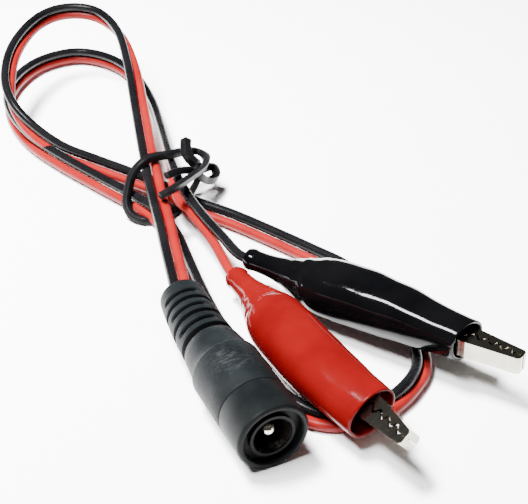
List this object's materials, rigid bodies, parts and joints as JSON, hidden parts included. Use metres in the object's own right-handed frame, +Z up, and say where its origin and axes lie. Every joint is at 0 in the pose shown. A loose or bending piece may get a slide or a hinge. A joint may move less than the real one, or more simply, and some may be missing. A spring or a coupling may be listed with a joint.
{
  "type": "dc socket to alligator clip test lead",
  "caption": "Inline DC power socket on a looped red and black twin cord, bound by a twist tie and splitting into insulated spring alligator clips.",
  "frame": {"origin": "centre of the footprint of the socket and the two clips, on the table", "axes": "+Z up from the table, the socket's axis along Y with its mouth towards -Y, the looped cord towards +Y"},
  "size_m": [0.0467, 0.1498, 0.0172],
  "materials": {
    "black_pvc": "matte soft PVC moulding",
    "black_plastic": "satin hard plastic",
    "nickel": "bright nickel plate",
    "nickel_sheet": "bright nickel-plated stamped steel",
    "brass_spring": "plain",
    "solder": "dull bright solder",
    "copper": "bare tinned copper strands",
    "black_wire": "satin PVC insulation",
    "red_wire": "satin PVC insulation",
    "tie_plastic": "plastic-covered tie wire",
    "red_boot": "glossy dipped PVC",
    "black_boot": "glossy dipped PVC",
    "spring_steel": "drawn wire"
  },
  "bodies": {
    "lead": {"socket_overmould": "black_pvc", "socket_front_ring": "black_plastic", "socket_insulator": "black_plastic", "centre_pin": "nickel", "sleeve_contact": "brass_spring", "solder_joints": "solder", "socket_copper_ends": "copper", "cord_black": "black_wire", "cord_red": "red_wire", "twist_tie": "tie_plastic", "red_boot": "red_boot", "red_fixed_jaw": "nickel_sheet", "red_rivet": "nickel", "red_spring": "spring_steel", "red_copper_end": "copper", "black_boot": "black_boot", "black_fixed_jaw": "nickel_sheet", "black_rivet": "nickel", "black_spring": "spring_steel", "black_copper_end": "copper"},
    "red_jaw": {"red_moving_jaw": "nickel_sheet"},
    "black_jaw": {"black_moving_jaw": "nickel_sheet"}
  },
  "joints": [
    {"name": "red_jaw_pivot", "type": "hinge", "parent": "lead", "child": "red_jaw", "pos_m": [-0.0031, -0.00861, 0.00607], "axis": [-0.6452, -0.0046, 0.764], "range_deg": [0, 20], "stiffness_Nm_per_rad": 0.06, "springref_deg": -34.38, "deforming": ["red_spring", "red_boot"]},
    {"name": "black_jaw_pivot", "type": "hinge", "parent": "lead", "child": "black_jaw", "pos_m": [0.01377, -0.00358, 0.00712], "axis": [-0.0182, 0.0358, 0.9992], "range_deg": [0, 20], "stiffness_Nm_per_rad": 0.06, "springref_deg": -34.38, "deforming": ["black_spring", "black_boot"]}
  ]
}
